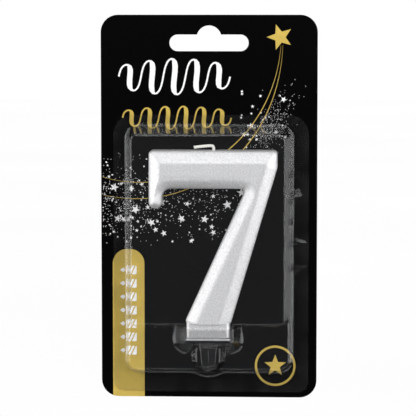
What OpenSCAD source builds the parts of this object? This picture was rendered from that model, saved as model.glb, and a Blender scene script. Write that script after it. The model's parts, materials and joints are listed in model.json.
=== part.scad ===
// Number birthday candle in a hanging blister pack.
// X is to the right, Z is up and the pack faces -Y. The origin is the centre of the hang slot,
// on the printed face of the card.

/* [Card] */
// Width of the backing card
card_w = 87.6; // [86:0.1:100]
// Height of the card above the centre of the hang slot
card_above = 11.3; // [11:0.1:16]
// Height of the card below the centre of the hang slot
card_below = 144.2; // [143:0.1:160]
// Thickness of the paperboard
card_t = 0.6; // [0.4:0.1:1]
// Corner radius of the card
card_r = 7; // [3:0.5:8]
// Width of the euro hang slot
slot_w = 32; // [30:0.5:34]
// Height of the straight part of the hang slot
slot_h = 6.7; // [6:0.1:7]
// Radius of the hump over the middle of the slot
hump_r = 5.05; // [4.5:0.05:5.5]

/* [Blister] */
// Thickness of the formed plastic sheet
film_t = 0.3; // [0.25:0.05:0.4]
// Width of the sealing flange
flange_w = 79.2; // [78:0.1:82]
// Height of the sealing flange
flange_h = 112.9; // [112:0.1:116]
// Depth of the tall dome over the digit
dome_d = 13.5; // [13.5:0.1:16]
// Slope of the dome's walls in degrees from square
dome_draft = 10.5; // [8:0.5:12]
// Depth of the low shelf under the dome
shelf_d = 5; // [4:0.1:6]
// Slope of the pockets' walls in degrees from square
pocket_draft = 22; // [20:0.5:24]

/* [Candle] */
// Width of the digit
digit_w = 51.7; // [48:0.1:52]
// Height of the digit
digit_h = 70.1; // [68:0.1:70.5]
// Thickness of the digit from front to back
digit_t = 11; // [9:0.1:11]
// Height of the digit's top bar
bar_h = 15.3; // [13:0.1:16]
// Width of the serif that hangs from the bar
serif_w = 5.35; // [5:0.05:6.5]
// Length of the serif below the bar
serif_drop = 8.05; // [7:0.05:9]
// Width of the leg at the foot
foot_w = 18.85; // [17:0.05:20]
// Width of the tenon under the foot
tenon_w = 17.9; // [16:0.1:18]
// Thickness of the tenon from front to back
tenon_t = 8; // [7:0.1:8]
// Height of the tenon
tenon_h = 6.6; // [6:0.1:6.6]

/* [Wick] */
// Radius of the cotton wick
wick_r = 0.6; // [0.5:0.05:0.7]
// Length of the bare end that bends over
tip_len = 8; // [5:0.1:8]
// Height of the bend over the top of the digit
bend_rise = 1.9; // [1.5:0.1:2]

/* [Holder] */
// Wall of the clear cup
cup_wall = 0.9; // [0.8:0.1:1]
// Depth that the tenon goes into the cup
cup_grip = 4.5; // [3:0.1:5]
// Length of the spike under the cup
spike_len = 10.4; // [8:0.1:10.5]
// Width of the spike at the cup
spike_w = 7.6; // [6:0.1:7.6]
// Thickness of the spike's blade
blade_t = 1.6; // [1.2:0.1:2]

/* [Print] */
// Number of white stars in the wide drift across the card
drift_stars = 90; // [20:1:120]
// Number of white stars in the small cluster along the trails
trail_stars = 26; // [10:1:40]
// Seed that scatters the white stars
star_seed = 7; // [1:1:99]

/* [Hidden] */

// Steps in each rounded corner, and along each curved stroke
corner_steps = 10;
stroke_steps = 48;
// How far a cutter runs past the face it cuts
past = 1;

// The layers on the card's face: print, then seal, then the blister's flange
print_t = 0.06;
seal_t = 0.05;
flange_back = print_t + seal_t;

card_left = -card_w / 2;
card_right = card_w / 2;
card_bottom = -card_below;

// The blister on the card: the flange runs a little right of the card's middle
flange_mid = 0.8;
flange_left = flange_mid - flange_w / 2;
flange_right = flange_mid + flange_w / 2;
flange_bottom = card_bottom + 2.2;
flange_top = flange_bottom + flange_h;
flange_r_top = 8;
flange_r_bottom = 4;

// The dome and the shelf, measured inside the sheet where they leave the flange
well_left = flange_left + 5.5;
well_right = flange_right - 6.9;
well_top = flange_top - 4.6;
well_bottom = flange_bottom + 8.7;
step_z = flange_bottom + 29.1;
well_r = 5;

// The candle stands on the pocket's middle line
foot_z = -113.1;
digit_left = -23.9;
digit_front = 12;
digit_mid = digit_front - digit_t / 2;
foot_left = -9.75;
foot_right = foot_left + foot_w;
digit_right = digit_left + digit_w;
digit_top = foot_z + digit_h;
bar_z = digit_top - bar_h;
shoulder_z = digit_top - 7;
// How far the leg's left edge leans for each millimetre of height
leg_lean = 0.455;
notch_x = foot_left + leg_lean * (bar_z - foot_z);

// The route of the wick: out of the top, along the bar and down the middle of the leg.
// Its stub stands a little over the middle of the bend.
wick_x = 2.2;
bend_z = digit_top + bend_rise;
stub_over = 0.3;
wick_route = [
    [wick_x, bend_z + stub_over],
    [wick_x, digit_top - 4.5],
    [(notch_x + digit_right) / 2, bar_z],
    [foot_left + foot_w / 2, foot_z + 1]
];
bore_gap = 0.05;

// The holder: the tenon has a little play in the cup
cup_play = 0.2;
cup_w = tenon_w + 2 * (cup_play + cup_wall);
cup_t = tenon_t + 2 * (cup_play + cup_wall);
cup_floor = 1;
tenon_z = foot_z - tenon_h;
cup_z = tenon_z - cup_floor;
spike_z = cup_z - spike_len;

// The two pockets in the shelf, measured inside the sheet at the shelf's face
base_pocket_w = 26.6;
base_pocket_z = cup_z - 3.6;
base_pocket_d = 12.6;
base_pocket_r = 4.5;
spike_pocket_w = 13.2;
spike_pocket_z = spike_z - 2.1;
spike_pocket_d = 9.6;
spike_pocket_r = 6;

// Points of an arc of radius r that rounds corner p between its neighbours a and b
function unit(v) = v / norm(v);
function corner_arc(a, p, b, r) =
    let (
        u = unit(a - p),
        w = unit(b - p),
        half = acos(u * w) / 2,
        centre = p + unit(u + w) * r / sin(half),
        from = p + u * r / tan(half) - centre,
        to = p + w * r / tan(half) - centre,
        turn = 180 - 2 * half
    )
    [for (i = [0:corner_steps])
        let (t = i / corner_steps)
        centre + (sin((1 - t) * turn) * from + sin(t * turn) * to) / sin(turn)];

// A closed outline from corners [x, z, radius]
function rounded(corners) =
    let (n = len(corners), at = [for (c = corners) [c.x, c.y]])
    [for (i = [0:n - 1]) each corner_arc(at[(i + n - 1) % n], at[i], at[(i + 1) % n], corners[i].z)];

// A box outline from its left, bottom, right and top, with one radius below and one above
function box_corners(left, bottom, right, top, r_bottom, r_top) = [
    [left, bottom, r_bottom],
    [right, bottom, r_bottom],
    [right, top, r_top],
    [left, top, r_top]
];

function cubic(p, t) =
    pow(1 - t, 3) * p[0] + 3 * pow(1 - t, 2) * t * p[1] + 3 * (1 - t) * t * t * p[2] + pow(t, 3) * p[3];

function star_points(r, r_in, first) = [
    for (i = [0:9])
        let (reach = i % 2 == 0 ? r : r_in)
        reach * [cos(first + 36 * i), sin(first + 36 * i)]
];

// Stands a flat X-Z drawing up: its back is at y = -back and it grows thick towards the front
module stand(back, thick) {
    translate([0, -back, 0])
        rotate([90, 0, 0])
            linear_extrude(height = thick) children();
}

module printed() {
    stand(0, print_t) children();
}

module at(x, z) {
    translate([x, z]) children();
}

module card_outline() {
    polygon(rounded(box_corners(card_left, card_bottom, card_right, card_above, card_r, card_r)));
}

module hang_slot() {
    square([slot_w - slot_h, slot_h], center = true);
    for (side = [-1, 1]) at(side * (slot_w - slot_h) / 2, 0) circle(d = slot_h, $fn = 48);
    at(0, card_above - 4.3 - hump_r) circle(r = hump_r, $fn = 64);
}

module backing_card() {
    color([0.05, 0.04, 0.05])
        stand(-card_t, card_t)
            difference() {
                card_outline();
                hang_slot();
            }
}

// The well's outline inside the sheet, drawn in by inset on every side and cut off below at bottom
module well_outline(bottom, inset) {
    r = well_r - inset;
    polygon(rounded(box_corners(
        well_left + inset, bottom + inset, well_right - inset, well_top - inset, r, r)));
}

module heat_seal() {
    color([0.8, 0.8, 0.75, 0.5])
        stand(print_t, seal_t)
            difference() {
                flange_outline();
                well_outline(well_bottom, -film_t);
                spike_pocket_outline(-shelf_d * tan(pocket_draft) - film_t);
            }
}

module flange_outline() {
    polygon(rounded(box_corners(
        flange_left, flange_bottom, flange_right, flange_top, flange_r_bottom, flange_r_top)));
}

// A formed hollow: hulls its outline at the back to its outline at the front
module formed(back, front) {
    sliver = 0.01;
    hull() {
        stand(back, sliver) children(0);
        stand(front - sliver, sliver) children(1);
    }
}

// A well with drafted walls, depth deep. Its outline at the flange is the size that is given.
module well(grow, back, bottom, depth) {
    lean = tan(dome_draft);
    formed(back, flange_back + depth + grow) {
        well_outline(bottom, (back - flange_back) * lean - grow);
        well_outline(bottom, depth * lean - grow);
    }
}

// A pocket's outline, drawn in by inset at its sides and bottom. Its top is inside the dome.
module pocket_outline(w, bottom, r, inset) {
    half_w = w / 2 - inset;
    polygon(rounded(box_corners(-half_w, bottom + inset, half_w, step_z + 4, r - inset, 1)));
}

module base_pocket_outline(inset) {
    pocket_outline(base_pocket_w, base_pocket_z, base_pocket_r, inset);
}

module spike_pocket_outline(inset) {
    pocket_outline(spike_pocket_w, spike_pocket_z, spike_pocket_r, inset);
}

// How far a pocket's walls have leaned in at a depth, from its outline at the shelf's face
function pocket_inset(depth) = (depth - shelf_d) * tan(pocket_draft);

// The hollow of the blister, grown by the sheet's thickness for its outside
module hollow(grow, back) {
    well(grow, back, step_z - dome_d * tan(dome_draft), dome_d);
    well(grow, back, well_bottom, shelf_d);
    formed(back, flange_back + base_pocket_d + grow) {
        base_pocket_outline(pocket_inset(back - flange_back) - grow);
        base_pocket_outline(pocket_inset(base_pocket_d) - grow);
    }
    formed(back, flange_back + spike_pocket_d + grow) {
        spike_pocket_outline(pocket_inset(back - flange_back) - grow);
        spike_pocket_outline(pocket_inset(spike_pocket_d) - grow);
    }
}

module blister_shell() {
    color([0.85, 0.9, 0.92, 0.35])
        difference() {
            union() {
                stand(flange_back, film_t) flange_outline();
                hollow(film_t, flange_back);
            }
            hollow(0, flange_back - past);
        }
}

module digit_outline() {
    polygon(rounded([
        [foot_left, foot_z, 1.4],
        [foot_right, foot_z, 1.4],
        [digit_right, shoulder_z, 4],
        [digit_right, digit_top, 1.6],
        [digit_left, digit_top, 1.6],
        [digit_left, bar_z - serif_drop, serif_w / 2 - 0.1],
        [digit_left + serif_w, bar_z - serif_drop, serif_w / 2 - 0.1],
        [digit_left + serif_w, bar_z, 3.6],
        [notch_x, bar_z, 1.4]
    ]));
}

// The wick follows its route as a tube of radius r with mitred bends: one ring at each point
module wick_path(r) {
    sides = 16;
    n = len(wick_route);
    function across(i) = let (d = unit(wick_route[i + 1] - wick_route[i])) [-d.y, d.x];
    function mitre(i) =
        let (before = across(max(i - 1, 0)), after = across(min(i, n - 2)))
        (before + after) / (1 + before * after);
    rings = [for (i = [0:n - 1], k = [0:sides - 1])
        let (turn = 360 * k / sides, out = r * cos(turn) * mitre(i))
        [wick_route[i].x + out.x, r * sin(turn) - digit_mid, wick_route[i].y + out.y]];
    walls = [for (i = [0:n - 2], k = [0:sides - 1])
        let (a = i * sides + k, b = i * sides + (k + 1) % sides)
        [a, b, b + sides, a + sides]];
    near_end = [for (k = [sides - 1:-1:0]) k];
    far_end = [for (k = [0:sides - 1]) (n - 1) * sides + k];
    polyhedron(points = rings, faces = concat([near_end], walls, [far_end]));
}

module wax_digit() {
    color([0.75, 0.75, 0.76])
        difference() {
            union() {
                stand(digit_front - digit_t, digit_t) digit_outline();
                translate([-tenon_w / 2, tenon_t / -2 - digit_mid, tenon_z])
                    cube([tenon_w, tenon_t, tenon_h + past]);
            }
            wick_path(wick_r + bore_gap);
        }
}

module wick_core() {
    color([0.93, 0.92, 0.88]) wick_path(wick_r);
}

// The bare end lies to the left in the pack. It starts just clear of the bend that it turns about.
module wick_tip() {
    start = wick_r + 0.12;
    color([0.95, 0.94, 0.9])
        translate([wick_x - start, -digit_mid, bend_z])
            rotate([0, -90, 0])
                cylinder(r = wick_r, h = tip_len - start, $fn = 24);
}

module cup_outline(w, t, r) {
    polygon(rounded(box_corners(-w / 2, -t / 2, w / 2, t / 2, r, r)));
}

module spike_outline() {
    polygon(rounded([
        [-spike_w / 2, cup_z + 0.5, 0.3],
        [-spike_w / 3, spike_z, 1.6],
        [spike_w / 3, spike_z, 1.6],
        [spike_w / 2, cup_z + 0.5, 0.3]
    ]));
}

module holder() {
    rib_w = 1.2;
    rib_t = 3;
    color([0.9, 0.93, 0.95, 0.5]) {
        translate([0, -digit_mid, 0])
            difference() {
                translate([0, 0, cup_z])
                    linear_extrude(height = cup_floor + cup_grip) cup_outline(cup_w, cup_t, 1.5);
                translate([0, 0, tenon_z])
                    linear_extrude(height = cup_grip + past)
                        cup_outline(cup_w - 2 * cup_wall, cup_t - 2 * cup_wall, 0.6);
            }
        stand(digit_mid - blade_t / 2, blade_t) spike_outline();
        stand(digit_mid - rib_t / 2, rib_t)
            polygon([[-rib_w / 2, cup_z + 0.5], [rib_w / 2, cup_z + 0.5], [0, spike_z + 2.5]]);
    }
}

// The gold foil band runs off the bottom of the card
band_left = -39.2;
band_right = -26.3;
band_top = -83.6;

module gold_side_band() {
    color([0.75, 0.63, 0.29])
        printed()
            intersection() {
                difference() {
                    polygon(rounded(box_corners(
                        band_left, card_bottom - 10, band_right, band_top, 1, 6)));
                    band_marks();
                }
                card_outline();
            }
}

// A column of small striped candles that lie across the band, with their flames to the left
mark_count = 7;
mark_pitch = 5.5;
mark_right = -29.5;
mark_w = 3.6;
stick_len = 4.3;
flame_len = 2.2;

module band_marks() {
    for (i = [0:mark_count - 1])
        at(mark_right, band_top - 8.6 - i * mark_pitch) {
            striped_stick();
            flame();
        }
}

module striped_stick() {
    stripe_w = 0.5;
    difference() {
        polygon(rounded(box_corners(-stick_len, -mark_w / 2, 0, mark_w / 2, 0.4, 0.4)));
        for (x = [0.33, 0.67])
            translate([-x * stick_len, 0])
                rotate([0, 0, -25])
                    square([stripe_w, 2 * mark_w], center = true);
    }
}

module flame() {
    tip = -stick_len - 0.3 - flame_len;
    wide = tip + 0.65 * flame_len;
    polygon(rounded([
        [-stick_len - 0.3, 0, 0.3], [wide, 1.1, 0.5], [tip, 0, 0.1], [wide, -1.1, 0.5]
    ]));
}

module band_pictograms() {
    color("white") printed() band_marks();
}

star_x = 28.6;
star_z = 2.35;
star_r = 5.4;

module gold_star() {
    color([0.8, 0.68, 0.34])
        printed()
            at(star_x, star_z) polygon(star_points(star_r, 0.426 * star_r, 180));
}

// A stroke along a cubic curve: it has its full width in the middle and thins to both ends
module stroke(p, w) {
    at_t = [for (i = [0:stroke_steps]) i / stroke_steps];
    function side(t, s) =
        let (
            ahead = unit(cubic(p, min(t + 0.01, 1)) - cubic(p, max(t - 0.01, 0))),
            half = w / 2 * (0.15 + 0.85 * sin(180 * t))
        )
        cubic(p, t) + s * half * [-ahead.y, ahead.x];
    polygon(concat(
        [for (t = at_t) side(t, 1)],
        [for (i = [stroke_steps:-1:0]) side(at_t[i], -1)]
    ));
}

// The star's two trails sweep down and off the left edge of the card
trail_w = 0.42;
trail_end_x = card_left + 0.3;

module trails() {
    stroke([[star_x + 0.4, star_z - 3.4], [26, -41.5], [-12, -64], [trail_end_x, -54.2]], trail_w);
    stroke([[star_x + 1.2, star_z - 3.2], [28, -44.5], [-8, -70], [trail_end_x, -61.5]], trail_w);
}

module gold_trails() {
    color([0.8, 0.68, 0.34]) printed() trails();
}

// A streamer waves from left to right, thick on its falling strokes and thin on its rising ones
module streamer(left, right, mid, rise, waves, thin, thick) {
    steps = 20 * waves;
    // Widens the crests so that the strokes between them stand nearly upright
    widen = 0.42 * (right - left) / waves / 6.28;
    function middle(t) =
        let (turn = 360 * waves * t, lift = rise * (0.6 + 0.4 * sin(180 * t)) * sin(turn))
        [left + (right - left) * t - widen * sin(2 * turn) + 0.15 * lift, mid + lift];
    function side(t, s) =
        let (
            ahead = unit(middle(t + 0.001) - middle(t - 0.001)),
            half = (thin + (thick - thin) * pow(max(0, -ahead.y), 3)) / 2
        )
        middle(t) + s * half * [-ahead.y, ahead.x];
    polygon(concat(
        [for (i = [0:steps]) side(i / steps, 1)],
        [for (i = [steps:-1:0]) side(i / steps, -1)]
    ));
}

streamer_right = 8.5;
white_streamer_z = -13.6;
gold_streamer_z = -30.2;

module white_streamer() {
    color("white")
        printed() streamer(-36.5, streamer_right, white_streamer_z, 7.2, 5, 0.7, 2.2);
}

module gold_streamer() {
    color([0.8, 0.68, 0.34])
        printed() streamer(-35, streamer_right + 0.5, gold_streamer_z, 4.6, 6, 0.6, 1.7);
}

badge_x = 27;
badge_z = -131.2;
badge_r = 8.3;
badge_line = 0.9;

module gold_badge() {
    color([0.8, 0.68, 0.34])
        printed()
            at(badge_x, badge_z) {
                difference() {
                    circle(r = badge_r, $fn = 72);
                    circle(r = badge_r - badge_line, $fn = 72);
                }
                polygon(star_points(4.6, 1.95, 90));
            }
}

// White stars scattered over the box from [left, bottom] to [right, top]
module star_drift(count, seed, left, bottom, right, top, r_max) {
    across = rands(0, 1, count, seed);
    up = rands(0, 1, count, seed + 1);
    size = rands(0, 1, count, seed + 2);
    turn = rands(0, 72, count, seed + 3);
    for (i = [0:count - 1]) {
        r = 0.45 + (r_max - 0.45) * pow(size[i], 3);
        at(left + (right - left) * pow(across[i], 1.35), bottom + (top - bottom) * up[i])
            polygon(star_points(r, 0.42 * r, turn[i]));
    }
}

module white_stars() {
    color("white")
        printed()
            difference() {
                union() {
                    star_drift(drift_stars, star_seed, card_left + 2.4, -81, 17, -45, 2);
                    star_drift(trail_stars, star_seed + 10, 13, -44, 34, -19, 1.3);
                }
                trails();
            }
}

backing_card();
heat_seal();
gold_side_band();
band_pictograms();
gold_star();
gold_trails();
gold_badge();
gold_streamer();
white_streamer();
white_stars();
blister_shell();
wax_digit();
wick_core();
wick_tip();
holder();
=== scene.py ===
"""A silver number candle in a clear blister on a black hanging card.

X is to the right, Z is up and the pack faces -Y. The origin is the middle of the card's hang slot.
"""

import json
import math
import random

import bmesh
import bpy
import numpy as np
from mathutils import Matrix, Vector
from mathutils.geometry import delaunay_2d_cdt


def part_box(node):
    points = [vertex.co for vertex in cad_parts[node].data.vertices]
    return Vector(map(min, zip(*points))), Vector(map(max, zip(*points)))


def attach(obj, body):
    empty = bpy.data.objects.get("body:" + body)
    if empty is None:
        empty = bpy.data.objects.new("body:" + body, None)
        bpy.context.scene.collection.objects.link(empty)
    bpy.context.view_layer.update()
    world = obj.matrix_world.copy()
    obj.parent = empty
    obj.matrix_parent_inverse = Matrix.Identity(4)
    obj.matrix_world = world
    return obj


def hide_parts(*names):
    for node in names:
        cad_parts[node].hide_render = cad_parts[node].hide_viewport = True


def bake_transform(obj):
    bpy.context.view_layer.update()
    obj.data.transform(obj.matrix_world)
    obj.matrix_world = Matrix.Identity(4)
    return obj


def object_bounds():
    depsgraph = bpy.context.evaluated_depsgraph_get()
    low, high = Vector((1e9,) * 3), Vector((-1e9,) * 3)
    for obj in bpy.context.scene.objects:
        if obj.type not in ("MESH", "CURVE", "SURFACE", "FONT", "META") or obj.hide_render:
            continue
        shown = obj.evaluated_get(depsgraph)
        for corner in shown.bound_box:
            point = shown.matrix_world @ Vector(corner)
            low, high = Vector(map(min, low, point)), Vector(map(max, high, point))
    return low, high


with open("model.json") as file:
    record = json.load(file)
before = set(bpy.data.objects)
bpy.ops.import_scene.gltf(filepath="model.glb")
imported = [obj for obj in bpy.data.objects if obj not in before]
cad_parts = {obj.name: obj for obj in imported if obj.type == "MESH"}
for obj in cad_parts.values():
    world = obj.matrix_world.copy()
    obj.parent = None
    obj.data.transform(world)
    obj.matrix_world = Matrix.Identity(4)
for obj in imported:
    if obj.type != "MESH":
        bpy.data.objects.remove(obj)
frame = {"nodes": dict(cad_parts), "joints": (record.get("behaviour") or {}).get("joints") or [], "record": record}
cad_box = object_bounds()

bl_info = {
    "name": "Number Candle Pack",
    "version": (1, 0, 0),
    "blender": (4, 5, 0),
    "location": "View3D > Sidebar > Candle",
    "description": "Builds a number candle in its blister pack round the packed CAD frame",
    "category": "Object",
}

MM = 0.001
# How near two places are taken as one
TOUCH = 0.002 * MM


def length(name, description, default, low=0.0, high=0.2):
    """A length property in metres."""
    return bpy.props.FloatProperty(
        name=name, description=description, default=default, min=low, max=high,
        precision=5, subtype="DISTANCE", unit="LENGTH",
    )


def tint(name, description, default):
    """A colour property."""
    return bpy.props.FloatVectorProperty(
        name=name, description=description, default=default, size=3, min=0.0, max=1.0, subtype="COLOR",
    )


class CandleSizes(bpy.types.PropertyGroup):
    """Sizes of the wax number, its wick and its holder."""

    shoulder_width: length("Shoulder width", "Width of the rounded shoulder round the face", 5.0 * MM)
    shoulder_drop: length("Shoulder drop", "How far the shoulder falls back from the face", 3.1 * MM)
    lip_radius: length("Lip radius", "Rounding where the shoulder meets the side wall", 0.45 * MM)
    back_bevel: length("Back bevel", "Rounding of the number's back edge", 0.5 * MM)
    tenon_bevel: length("Tenon bevel", "Rounding of the tenon's upright edges", 1.3 * MM)
    tenon_lip: length("Tenon lip", "Height of the lip round the foot of the tenon", 0.9 * MM)
    strand_radius: length("Strand radius", "Radius of one of the wick's three strands", 0.34 * MM)
    twist_pitch: length("Twist pitch", "Length of wick in one turn of its strands", 3.2 * MM)
    wick_sag: length("Wick sag", "How far the bare end of the wick droops", 0.7 * MM)
    cup_wall: length("Cup wall", "Wall of the holder's cup", 0.9 * MM)
    cup_floor: length("Cup floor", "Thickness of the floor of the holder's cup", 1.0 * MM)
    cup_height: length("Cup height", "Height of the holder's cup with its floor", 5.5 * MM)
    spike_width: length("Spike width", "Width of the spike where it leaves the cup", 7.6 * MM)
    blade_thickness: length("Blade thickness", "Thickness of the spike's blade", 1.6 * MM)


class BlisterSizes(bpy.types.PropertyGroup):
    """Sizes of the formed clear sheet."""

    film: length("Sheet", "Thickness of the formed sheet", 0.3 * MM)
    side_left: length("Left flange", "Width of the sealing flange on the left", 5.5 * MM)
    side_right: length("Right flange", "Width of the sealing flange on the right", 6.9 * MM)
    side_top: length("Top flange", "Width of the sealing flange at the top", 4.6 * MM)
    side_bottom: length("Bottom flange", "Width of the sealing flange at the bottom", 8.7 * MM)
    step_height: length("Step height", "Height of the dome's lower edge above the flange's foot", 29.1 * MM)
    dome_depth: length("Dome depth", "Depth of the tall dome inside the sheet", 13.5 * MM)
    shelf_depth: length("Shelf depth", "Depth of the low shelf inside the sheet", 5.0 * MM)
    well_radius: length("Well radius", "Corner radius where the walls leave the flange", 5.0 * MM)
    base_pocket_width: length("Base pocket width", "Width of the pocket round the tenon", 26.6 * MM)
    base_pocket_depth: length("Base pocket depth", "Depth of the pocket round the tenon", 12.6 * MM)
    spike_pocket_width: length("Spike pocket width", "Width of the pocket round the spike", 13.2 * MM)
    spike_pocket_depth: length("Spike pocket depth", "Depth of the pocket round the spike", 9.6 * MM)
    fillet: length("Fillet", "Radius of the formed edges at the front and at the foot of each wall", 1.0 * MM)
    crease: length("Crease", "Softening where two hollows meet", 0.5 * MM)
    dome_draft: bpy.props.FloatProperty(
        name="Dome draft", description="Lean of the dome's walls",
        default=math.radians(10.5), subtype="ANGLE", unit="ROTATION",
    )
    pocket_draft: bpy.props.FloatProperty(
        name="Pocket draft", description="Lean of the pockets' walls",
        default=math.radians(22), subtype="ANGLE", unit="ROTATION",
    )


class PackFinishes(bpy.types.PropertyGroup):
    """Colours of the pack, and how its stardust is scattered."""

    silver: tint("Silver lacquer", "Metallic lacquer on the wax", (0.78, 0.78, 0.79))
    cotton: tint("Cotton", "Bleached cotton of the wick", (0.86, 0.85, 0.80))
    card_black: tint("Card black", "Printed black of the card's face", (0.0007, 0.0006, 0.0008))
    card_core: tint("Card core", "Bare paperboard at the card's edges and back", (0.52, 0.50, 0.46))
    gold: tint("Gold foil", "Stamped gold foil", (0.61, 0.44, 0.085))
    white: tint("White ink", "White screen print", (0.88, 0.88, 0.88))
    dust_drift: bpy.props.IntProperty(
        name="Drift dots", description="White dots in the wide drift across the card", default=760, min=0,
    )
    dust_trail: bpy.props.IntProperty(
        name="Trail dots", description="White dots in the small cloud along the trails", default=380, min=0,
    )
    dust_seed: bpy.props.IntProperty(
        name="Dust seed", description="Seed that scatters the white dots", default=11, min=1,
    )


# ---------------------------------------------------------------- helpers


def pick(*objects):
    """Selects only these objects and makes the first one active."""
    bpy.ops.object.select_all(action="DESELECT")
    for piece in objects:
        piece.select_set(True)
    bpy.context.view_layer.objects.active = objects[0]


def new_piece(name, points, faces):
    """A mesh piece from its points and faces, selected alone."""
    mesh = bpy.data.meshes.new(name)
    mesh.from_pydata([tuple(p) for p in points], [], faces)
    piece = bpy.data.objects.new(name, mesh)
    bpy.context.scene.collection.objects.link(piece)
    pick(piece)
    return piece


def new_block(name, low, high):
    """A block between two corners, selected alone."""
    low, high = Vector(low), Vector(high)
    bpy.ops.object.select_all(action="DESELECT")
    bpy.ops.mesh.primitive_cube_add(size=1, location=(low + high) / 2)
    piece = bpy.context.object
    piece.name = name
    piece.scale = high - low
    bpy.ops.object.transform_apply(location=True, rotation=True, scale=True)
    return piece


def choose(piece, kind, test):
    """In edit mode, selects only the vertices, edges or faces that pass the test."""
    bpy.ops.mesh.select_mode(type=kind)
    bpy.ops.mesh.select_all(action="DESELECT")
    shape = bmesh.from_edit_mesh(piece.data)
    parts = {"VERT": shape.verts, "EDGE": shape.edges, "FACE": shape.faces}[kind]
    chosen = [part for part in parts if test(part)]
    if not chosen:
        raise RuntimeError(f"nothing to select on {piece.name}")
    for part in chosen:
        part.select_set(True)
    shape.select_flush_mode()
    bmesh.update_edit_mesh(piece.data)


def upright(edge):
    """True for an edge that runs along Z."""
    run = edge.verts[1].co - edge.verts[0].co
    return abs(run.z) > 0.9 * run.length


def use_modifier(piece, kind, **settings):
    """Adds a modifier with these settings and applies it."""
    pick(piece)
    modifier = piece.modifiers.new(kind.lower(), kind)
    for name, value in settings.items():
        setattr(modifier, name, value)
    bpy.ops.object.modifier_apply(modifier=modifier.name)


def fuse(piece, *others):
    """Joins other closed shapes into a piece as one closed shape."""
    for other in others:
        use_modifier(piece, "BOOLEAN", operation="UNION", solver="MANIFOLD", object=other)
        bpy.data.objects.remove(other)


def weld():
    """Merges the doubles of the selected pieces and turns their faces outwards."""
    bpy.ops.object.mode_set(mode="EDIT")
    bpy.ops.mesh.select_all(action="SELECT")
    bpy.ops.mesh.remove_doubles(threshold=TOUCH)
    bpy.ops.mesh.select_all(action="SELECT")
    bpy.ops.mesh.normals_make_consistent(inside=False)
    bpy.ops.object.mode_set(mode="OBJECT")


def smooth(piece, degrees=35.0):
    """Smooth shading, with edges sharper than the angle kept sharp."""
    pick(piece)
    bpy.ops.object.shade_smooth_by_angle(angle=math.radians(degrees))


def hand_over(piece, body, slot, *nodes):
    """Applies a finished piece's transform, gives it the finish for its record slot, hides the nodes it replaces
    and hangs it on the body it rides on.
    """
    pick(piece)
    bpy.ops.object.transform_apply(location=True, rotation=True, scale=True)
    piece.data.materials.clear()
    piece.data.materials.append(finish_for(slot))
    if nodes:
        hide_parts(*nodes)
    if body:
        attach(piece, body)


# ---------------------------------------------------------------- outlines


def corner_box(left, bottom, right, top, r_bottom, r_top, spacing):
    """Points round a box with rounded corners, anticlockwise as X-Z pairs, at most spacing apart."""
    corners = [
        (left + r_bottom, bottom + r_bottom, r_bottom, 180),
        (right - r_bottom, bottom + r_bottom, r_bottom, 270),
        (right - r_top, top - r_top, r_top, 0),
        (left + r_top, top - r_top, r_top, 90),
    ]
    steps = 12
    arcs = []
    for x, z, r, start in corners:
        for i in range(steps + 1):
            turn = math.radians(start + 90 * i / steps)
            arcs.append((x + r * math.cos(turn), z + r * math.sin(turn)))
    return split_runs(arcs, spacing)


def split_runs(outline, spacing):
    """The same closed outline with its long runs split evenly."""
    points = []
    for i, a in enumerate(outline):
        b = outline[(i + 1) % len(outline)]
        parts = max(1, math.ceil(math.dist(a, b) / spacing))
        points += [(a[0] + (b[0] - a[0]) * k / parts, a[1] + (b[1] - a[1]) * k / parts) for k in range(parts)]
    return points


def box_gap(points, left, bottom, right, top, radius):
    """How far X-Z points are outside a rounded box, or below 0 how far inside."""
    centre = np.array([(left + right) / 2, (bottom + top) / 2])
    half = np.array([(right - left) / 2, (top - bottom) / 2])
    beyond = np.abs(points - centre) - (half - radius)
    outside = np.linalg.norm(np.maximum(beyond, 0), axis=1)
    return outside + np.minimum(beyond.max(axis=1), 0) - radius


def outline_gap(points, outline):
    """How far X-Z points are from a closed outline."""
    a = np.array(outline)
    run = np.roll(a, -1, axis=0) - a
    to_point = points[:, None] - a
    along = np.clip((to_point * run).sum(axis=2) / (run**2).sum(axis=1), 0, 1)
    return np.linalg.norm(to_point - along[..., None] * run, axis=2).min(axis=1)


def fill_outline(outline, rings, points):
    """Fills a closed outline with triangles through rings and loose points. It works in millimetres."""
    verts, edges = [], []
    for ring in [outline, *rings]:
        first = len(verts)
        verts += [Vector((x / MM, z / MM)) for x, z in ring]
        edges += [(first + i, first + (i + 1) % len(ring)) for i in range(len(ring))]
    verts += [Vector((x / MM, z / MM)) for x, z in points]
    inside = 1
    flat, _, faces, *_ = delaunay_2d_cdt(verts, edges, [], inside, 0.003)
    return np.array([tuple(v) for v in flat]) * MM, [list(f) for f in faces]


def lattice(low, high, spacing):
    """Points of a staggered lattice over an X-Z box."""
    rows = int((high[1] - low[1]) / (spacing * 0.866)) + 1
    columns = int((high[0] - low[0]) / spacing) + 1
    return np.array([
        (low[0] + (i + 0.5 * (j % 2)) * spacing, low[1] + j * spacing * 0.866)
        for j in range(rows) for i in range(columns)
    ])


def front_outline(node):
    """The closed outline of a CAD node's front face, anticlockwise as X-Z pairs."""
    shape = bmesh.new()
    shape.from_mesh(frame["nodes"][node].data)
    bmesh.ops.remove_doubles(shape, verts=shape.verts, dist=TOUCH)
    front = min(v.co.y for v in shape.verts) + TOUCH
    faces = {f for f in shape.faces if all(v.co.y < front for v in f.verts)}
    after = {}
    for face in faces:
        for loop in face.loops:
            if not any(f in faces and f is not face for f in loop.edge.link_faces):
                after[loop.vert] = loop.link_loop_next.vert
    here = start = next(iter(after))
    outline = []
    while True:
        outline.append((here.co.x, here.co.z))
        here = after[here]
        if here is start:
            break
    shape.free()
    area = sum(a[0] * b[1] - b[0] * a[1] for a, b in zip(outline, outline[1:] + outline[:1]))
    return outline if area > 0 else outline[::-1]


# ---------------------------------------------------------------- finishes


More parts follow.
